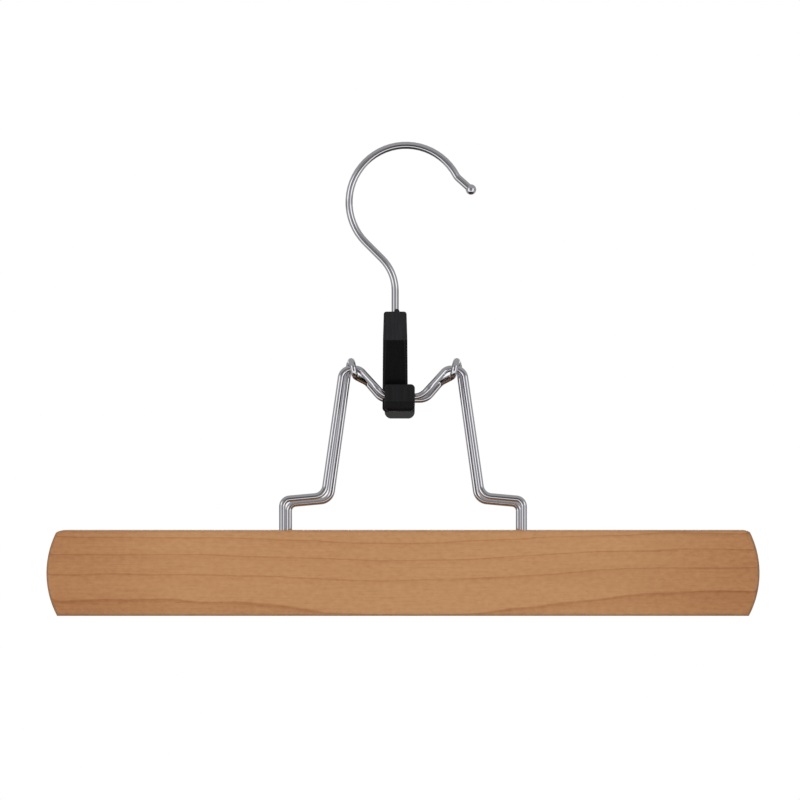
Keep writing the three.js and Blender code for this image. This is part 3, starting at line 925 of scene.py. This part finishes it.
def satin_black(name):
    """Black plastic with a fine moulded grain on its cap and on each jaw, a smooth polish on its web and
    glossy lower lips. Painted shade darkens the web fully, each jaw by half, and the downward-facing lower
    facet of each jaw almost fully.
    """
    material, start = new_finish(name)
    place = place_in_mm(start, (0, 0, -front_low.z / MM))
    _, deep, up = split(place)
    jaw_top = FRONT_MIDDLE_HEIGHT + JAW_RISE
    crease = FRONT_MIDDLE_HEIGHT - CREASE_DROP
    grit = speckle(place, 3.5, 3)
    drag = speckle(stretch(place, (1.1, 1.1, 0.04)), 1, 2)
    # The web takes a smoother polish, and its colour is darkened as painted shade where it faces slightly
    # down. Each jaw is darkened by half as painted shade, and each jaw's lower facet, which faces down,
    # almost fully.
    web_polish_and_shade = within(up, jaw_top, STEP_HEIGHT, STEM_ROUND)
    lips = (1 - grow(up, *LIP_GLOSS_TOP)) * (1 - grow(deep, *LIP_GLOSS_BACK))
    jaw_shade = 1 - grow(up, jaw_top, jaw_top + STEM_ROUND)
    lower_facet_shade = 1 - grow(up, crease - STEM_ROUND, crease)
    textured = blend(drag * 1.5 + grit * 0.5 + 0.5, GRAIN_DARK, GRAIN_PALE)
    base = blend(web_polish_and_shade + jaw_shade * 0.5 + lower_facet_shade * 0.45, textured, SHADED_POLISHED_BLACK)
    polish = 0.52 - web_polish_and_shade * 0.25 + drag * 0.16 + grit * 0.08
    grain = start.node(
        "Bump", sockets={"Strength": 0.25, "Distance": 0.00003, "Height": grit + drag * 0.8}
    )
    surface = start.node("BsdfPrincipled", sockets={
        "Base Color": base, "Roughness": polish, "Normal": grain, "IOR": 1.45, "Specular IOR Level": 0.18,
        "Coat Weight": lips * 0.75, "Coat Roughness": 0.15,
    })
    start.node("OutputMaterial", sockets={"Surface": surface})
    return material


lock_shape = carve(
    lock_stem(), "UNION",
    jaw(FRONT_MIDDLE_HEIGHT, FRONT_MIDDLE_DEPTH, FRONT_JAW_DROP, FRONT_JAW_HALF_WIDTH, -1),
    jaw(REAR_MIDDLE_HEIGHT, REAR_MIDDLE_DEPTH, REAR_JAW_DROP, REAR_JAW_HALF_WIDTH, 1),
    gate_nub(),
)
lock_shape = carve(lock_shape, "DIFFERENCE", hook_bore())
lock_finish = satin_black("black_moulding")
lock_piece = finish_piece(
    "lock_moulding", lock_shape, lock_place, lock_finish, "lock", "wedge_lock"
)
soften(lock_piece)


# Hook
# One length of the thicker plated wire. An upset head at its foot turns in the lock, a swan neck brings the
# crown over the middle, and the tip is upset to a ball so that it does not snag.
HOOK_WIRE = 1.55
HEAD_RADIUS = 2.7
HEAD_LOW = 110.4
HEAD_HEIGHT = 2.4
HEAD_ROUND = 0.4
CROWN_HEIGHT = 174.2
CROWN_BEND = 24
CROWN_TURN = radians(197)
NECK_BEND = 19
NECK_TURN = radians(45)
TIP_BEND = 4
TIP_TURN = radians(20)
TIP_RUN = 7.2
BALL = 2.25
BALL_STEPS = 14

leftwards = Vector((0, -1, 0))
rightwards = Vector((0, 1, 0))
neck_side = CROWN_BEND * cos(NECK_TURN) + swivel["pos_m"][0] / MM - NECK_BEND * (1 - cos(NECK_TURN))
neck_run = neck_side / sin(NECK_TURN)
neck_start = CROWN_HEIGHT - (CROWN_BEND + NECK_BEND) * sin(NECK_TURN) - neck_run * cos(NECK_TURN)


def ball_tip(wire, radius):
    """Swells the end of a wire into a ball. The last ring is a point in size, and tidy() closes it."""
    first = asin(wire.radius / radius)
    for step in range(1, BALL_STEPS + 1):
        before = first + (pi - first) * (step - 1) / BALL_STEPS
        after = first + (pi - first) * step / BALL_STEPS
        wire.swell(radius * (cos(before) - cos(after)), max(radius * sin(after), SEAM / 10))


hook = Bender((0, 0, HEAD_LOW), (0, 0, 1), HEAD_RADIUS - HEAD_ROUND)
hook.swell(HEAD_ROUND, HEAD_RADIUS)
hook.swell(HEAD_HEIGHT - 2 * HEAD_ROUND, HEAD_RADIUS)
hook.swell(HEAD_ROUND, HEAD_RADIUS - HEAD_ROUND)
hook.swell(0, HOOK_WIRE)
hook.run(neck_start - hook.at.z)
hook.bend(NECK_BEND, NECK_TURN, leftwards)
hook.run(neck_run)
hook.bend(CROWN_BEND, CROWN_TURN, rightwards)
hook.bend(TIP_BEND, TIP_TURN, leftwards)
hook.run(TIP_RUN - sqrt(BALL ** 2 - HOOK_WIRE ** 2))
ball_tip(hook, BALL)
finish_piece(
    "hook_wire", hook.shape, lock_place, bright_chrome("hook_chrome", 113), "hook", "hook"
)


# Stage
# A plain pale floor well below the hanger, soft lights round it and a white backdrop, all sized in metres.
# A grey tent, open at the back, stands in for the walls of the studio. Only reflections show it.
FLOOR_DROP = 0.22
FLOOR_RADIUS = 0.9
FLOOR_FADE = 0.5
FLOOR_SIDES = 96
FLOOR_PAINT = (0.9, 0.9, 0.9, 1)
BACKDROP_WHITE = (1, 1, 1, 1)
FILL_LEVEL = 0.24
TENT_RADIUS = 3
TENT_SIDES = 64
TENT_RINGS = 48
TENT_OPENING = radians(25)
WALL_LEVEL = 0.46
TABLE_LEVEL = 0.03
APRON_LEVEL = 1.15
HOOD_LEVEL = 0.1
WINDOW_LEVEL = 1.75
CAMERA_SIDE_LEVEL = 0.66
BAND_DIMMING = 0.27

# Where parts of the tent lie from the hanger's middle, in degrees up from level or round from the front.
# Two values say where a part fades out. Three say where it starts, where it ends and how soft its ends are.
TABLE_EDGE = (-48, -42)
APRON_RISE = (-46, -22, 3)
APRON_SIDE = (50, 70)
HOOD_RISE = (-22, 28, 3)
HOOD_SIDE = (28, 36)
CAMERA_SIDE_LOW = (-6, 6, 3)
CAMERA_SIDE_HIGH = (12, 18, 2)
CAMERA_SIDE_TURN = (4, 27, 3)
WINDOW_RISE = (-26, 22, 4)
WINDOW_TURN = (33, 62, 4)
BAND_RISE = (-4, 4, 2)

stage_middle = Vector((0, 0, front_middle.z / 2))


def stage_object(name, shape, material):
    """A part of the stage, which is no part of the hanger."""
    made = new_object(name, shape)
    made.data.materials.append(material)
    return made


def pale_floor():
    """A pale floor that fades into the backdrop towards its rim and is clear from below."""
    material, start = new_finish("pale_floor")
    across, back, _ = split(start.node("TexCoord", output="Object"))
    radius = start.math("SQRT", across * across + back * back)
    paint = start.node("BsdfDiffuse", sockets={"Color": FLOOR_PAINT})
    clear = start.node("BsdfTransparent")
    under = start.node("NewGeometry", output="Backfacing")
    fade = start.math("MAXIMUM", grow(radius, FLOOR_FADE, FLOOR_RADIUS), under)
    mixed = start.node("MixShader", sockets={0: fade, 1: paint, 2: clear})
    start.node("OutputMaterial", sockets={"Surface": mixed})
    return material


def facing(place, target):
    """Stands something at a place, facing a target."""
    swing = (target - place).to_track_quat("-Z", "Y")
    return Matrix.Translation(place) @ swing.to_matrix().to_4x4()


def soft_light(name, place, width, height, power):
    """A soft light that faces the hanger and does not show in reflections."""
    lamp = bpy.data.lights.new(name, "AREA")
    lamp.shape = "RECTANGLE"
    lamp.size = width
    lamp.size_y = height
    lamp.energy = power
    made = bpy.data.objects.new(name, lamp)
    made.matrix_world = facing(Vector(place), stage_middle)
    made.visible_glossy = False
    scene.collection.objects.link(made)


def cover(level, mask, other):
    """Lays another level over a level where a mask is 1."""
    return level + mask * (other - level)


def studio_walls():
    """Grey walls with a bright window at each side, a dark hood, and a dark table with a bright front edge.

    A band at the hanger's own height is a little dimmer.
    """
    material, start = new_finish("studio_walls")
    where = stretch(start.node("TexCoord", output="Object"), (1, 1, 1), -stage_middle)
    across, back, up = split(where)
    reach = start.math("SQRT", across * across + back * back)
    rise = start.math("ARCTAN2", up, reach) * (180 / pi)
    turn = start.math("ABSOLUTE", start.math("ARCTAN2", across, 0 - back)) * (180 / pi)
    apron = within(rise, *APRON_RISE) * (1 - grow(turn, *APRON_SIDE))
    hood = within(rise, *HOOD_RISE) * (1 - grow(turn, *HOOD_SIDE))
    camera_side = within(rise, *CAMERA_SIDE_LOW) + within(rise, *CAMERA_SIDE_HIGH)
    window = within(turn, *WINDOW_TURN) * within(rise, *WINDOW_RISE)
    level = cover(WALL_LEVEL, 1 - grow(rise, *TABLE_EDGE), TABLE_LEVEL)
    level = cover(level, apron, APRON_LEVEL)
    level = cover(level, hood, HOOD_LEVEL)
    level = cover(level, camera_side * within(turn, *CAMERA_SIDE_TURN), CAMERA_SIDE_LEVEL)
    level = cover(level, window, WINDOW_LEVEL)
    level = level * (1 - within(rise, *BAND_RISE) * BAND_DIMMING)
    dark = start.node("Emission", sockets={"Strength": 0})
    bright = start.node("Emission", sockets={"Strength": WINDOW_LEVEL})
    glow = start.node("MixShader", sockets={0: level / WINDOW_LEVEL, 1: dark, 2: bright})
    start.node("OutputMaterial", sockets={"Surface": glow})
    material.cycles.emission_sampling = "NONE"
    return material


floor = bmesh.new()
bmesh.ops.create_circle(floor, cap_ends=True, segments=FLOOR_SIDES, radius=FLOOR_RADIUS)
bmesh.ops.translate(floor, vec=(0, 0, front_low.z - FLOOR_DROP), verts=floor.verts)
floor_object = stage_object("floor", floor, pale_floor())
floor_object.visible_glossy = False

soft_light("key_light", place=(-0.1, -1.25, 0.4), width=0.8, height=0.6, power=14.8)
soft_light("rear_light", place=(0.2, 1.15, 0.2), width=0.8, height=0.6, power=12)

shell = bmesh.new()
bmesh.ops.create_uvsphere(shell, u_segments=TENT_SIDES, v_segments=TENT_RINGS, radius=TENT_RADIUS)
opening = [vert for vert in shell.verts if vert.co.y > TENT_RADIUS * cos(TENT_OPENING)]
bmesh.ops.delete(shell, geom=opening, context="VERTS")
bmesh.ops.translate(shell, vec=stage_middle, verts=shell.verts)
tent = stage_object("tent", shell, studio_walls())
tent.visible_camera = False
tent.visible_diffuse = False
tent.visible_transmission = False
tent.visible_shadow = False

world = bpy.data.worlds.new("backdrop")
world.use_nodes = True
world.node_tree.nodes.clear()
scene.world = world
sky = Shade(world.node_tree)
camera_ray = sky.node("LightPath", output="Is Camera Ray")
glossy_ray = sky.node("LightPath", output="Is Glossy Ray")
clear_ray = sky.node("LightPath", output="Is Transmission Ray")
seen = sky.math("MINIMUM", camera_ray + glossy_ray + clear_ray, 1)
fill = sky.node("Background", sockets={"Color": BACKDROP_WHITE, "Strength": FILL_LEVEL})
white = sky.node("Background", sockets={"Color": BACKDROP_WHITE, "Strength": 1})
backdrop = sky.node("MixShader", sockets={0: seen, 1: fill, 2: white})
sky.node("OutputWorld", sockets={"Surface": backdrop})
